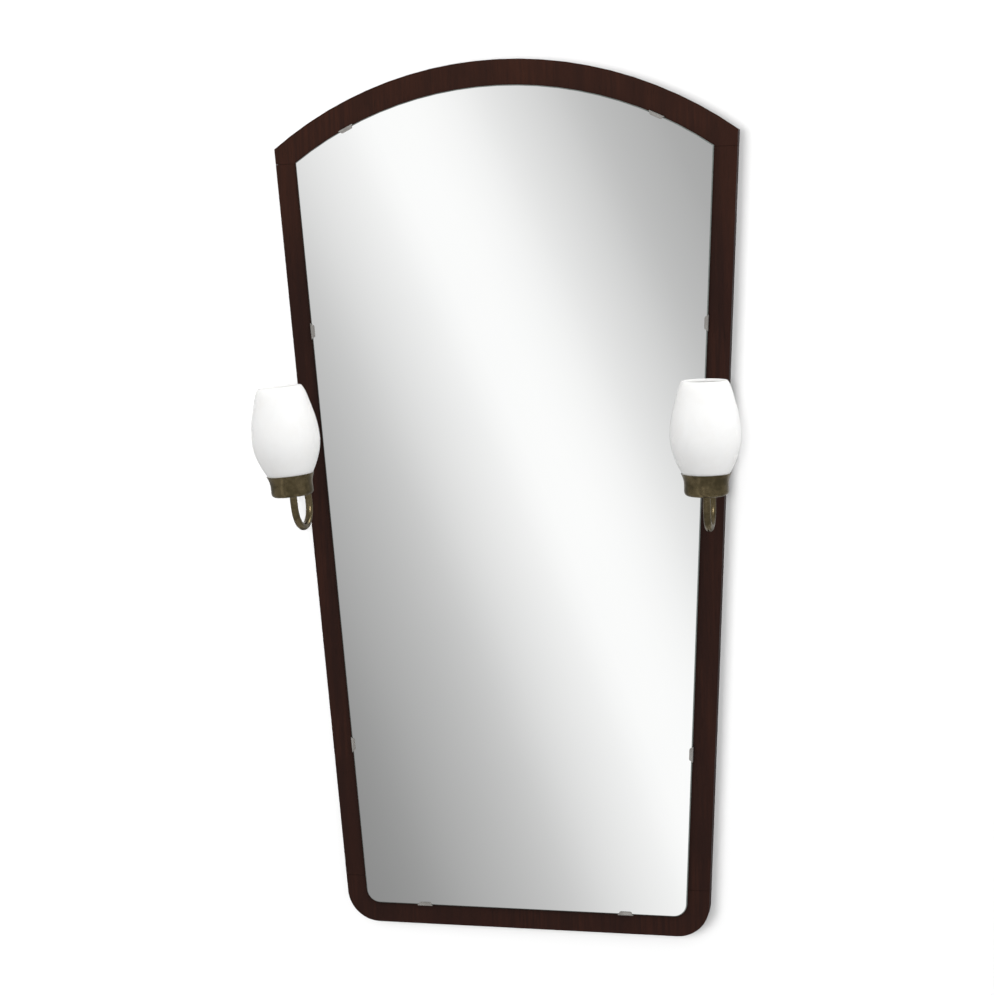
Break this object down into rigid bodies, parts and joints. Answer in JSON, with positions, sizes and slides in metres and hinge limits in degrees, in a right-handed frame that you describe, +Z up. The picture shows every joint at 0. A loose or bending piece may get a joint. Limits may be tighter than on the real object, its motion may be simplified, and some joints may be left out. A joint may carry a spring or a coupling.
{
  "type": "girandole mirror",
  "caption": "Arched wall mirror with tapering sides in a dark mahogany frame, its glass held by nickel clips, with a brass swan-neck lamp and egg-shaped opal shade on each side.",
  "frame": {"origin": "on the wall face, on the centre line, at the middle of the bottom rail, 31 mm above the lower edge", "axes": "+Z up along the mirror, +Y into the wall, +X to the right as seen from the room"},
  "size_m": [0.5979, 0.1635, 1.1],
  "materials": {
    "mahogany": "satin polished dark mahogany veneer",
    "plywood": "bare plywood",
    "silvered_glass": "silvered float glass",
    "nickel": "dull nickel plate",
    "steel": "plain steel",
    "aged_brass": "aged, olive-brown brass",
    "bright_brass": "unpolished brass",
    "opal_glass": "polished opal glass",
    "bulb_glass": "inside-frosted glass",
    "bakelite": "dark moulded bakelite",
    "porcelain": "glazed porcelain",
    "rubber": "black rubber",
    "lead_sheath": "braided sheath"
  },
  "bodies": {
    "frame": {"head_rail": "mahogany", "bottom_rail": "mahogany", "left_stile": "mahogany", "right_stile": "mahogany", "back_panel": "plywood", "left_upper_panel_screw": "steel", "left_lower_panel_screw": "steel", "right_upper_panel_screw": "steel", "right_lower_panel_screw": "steel", "head_panel_screw": "steel", "rail_panel_screw": "steel", "mirror_glass": "silvered_glass", "left_arch_clip": "nickel", "left_arch_clip_screw": "steel", "left_upper_clip": "nickel", "left_upper_clip_screw": "steel", "left_lower_clip": "nickel", "left_lower_clip_screw": "steel", "left_rail_clip": "nickel", "left_rail_clip_screw": "steel", "left_hanging_plate": "steel", "left_plate_lower_screw": "steel", "left_plate_upper_screw": "steel", "right_arch_clip": "nickel", "right_arch_clip_screw": "steel", "right_upper_clip": "nickel", "right_upper_clip_screw": "steel", "right_lower_clip": "nickel", "right_lower_clip_screw": "steel", "right_rail_clip": "nickel", "right_rail_clip_screw": "steel", "right_hanging_plate": "steel", "right_plate_lower_screw": "steel", "right_plate_upper_screw": "steel", "terminal_block": "porcelain", "terminal_block_screw": "steel", "cable_grommet": "rubber", "left_lead": "lead_sheath", "right_lead": "lead_sheath"},
    "left_arm": {"left_arm_tube": "aged_brass", "left_rosette": "aged_brass", "left_tail_washer": "steel", "left_tail_nut": "bright_brass", "left_cup": "aged_brass", "left_cup_nut": "bright_brass", "left_lampholder": "bakelite"},
    "left_shade_lift": {"left_shade": "opal_glass"},
    "left_bulb_lift": {"left_bulb": "bulb_glass", "left_bulb_cap": "bright_brass"},
    "right_arm": {"right_arm_tube": "aged_brass", "right_rosette": "aged_brass", "right_tail_washer": "steel", "right_tail_nut": "bright_brass", "right_cup": "aged_brass", "right_cup_nut": "bright_brass", "right_lampholder": "bakelite"},
    "right_shade_lift": {"right_shade": "opal_glass"},
    "right_bulb_lift": {"right_bulb": "bulb_glass", "right_bulb_cap": "bright_brass"}
  },
  "joints": [
    {"name": "left_arm_swivel", "type": "hinge", "parent": "frame", "child": "left_arm", "pos_m": [-0.25708, -0.02, 0.617], "axis": [0, 1, 0], "range_deg": [-15.4, 24.6]},
    {"name": "left_shade_out", "type": "slide", "parent": "left_arm", "child": "left_shade_lift", "axis": [-0.0802, 0, 0.9968], "range_m": [0, 0.12]},
    {"name": "left_bulb_out", "type": "slide", "parent": "left_arm", "child": "left_bulb_lift", "axis": [-0.0802, 0, 0.9968], "range_m": [0, 0.12]},
    {"name": "right_arm_swivel", "type": "hinge", "parent": "frame", "child": "right_arm", "pos_m": [0.25708, -0.02, 0.617], "axis": [0, 1, 0], "range_deg": [-20, 20]},
    {"name": "right_shade_out", "type": "slide", "parent": "right_arm", "child": "right_shade_lift", "axis": [0, 0, 1], "range_m": [0, 0.12]},
    {"name": "right_bulb_out", "type": "slide", "parent": "right_arm", "child": "right_bulb_lift", "axis": [0, 0, 1], "range_m": [0, 0.12]}
  ]
}
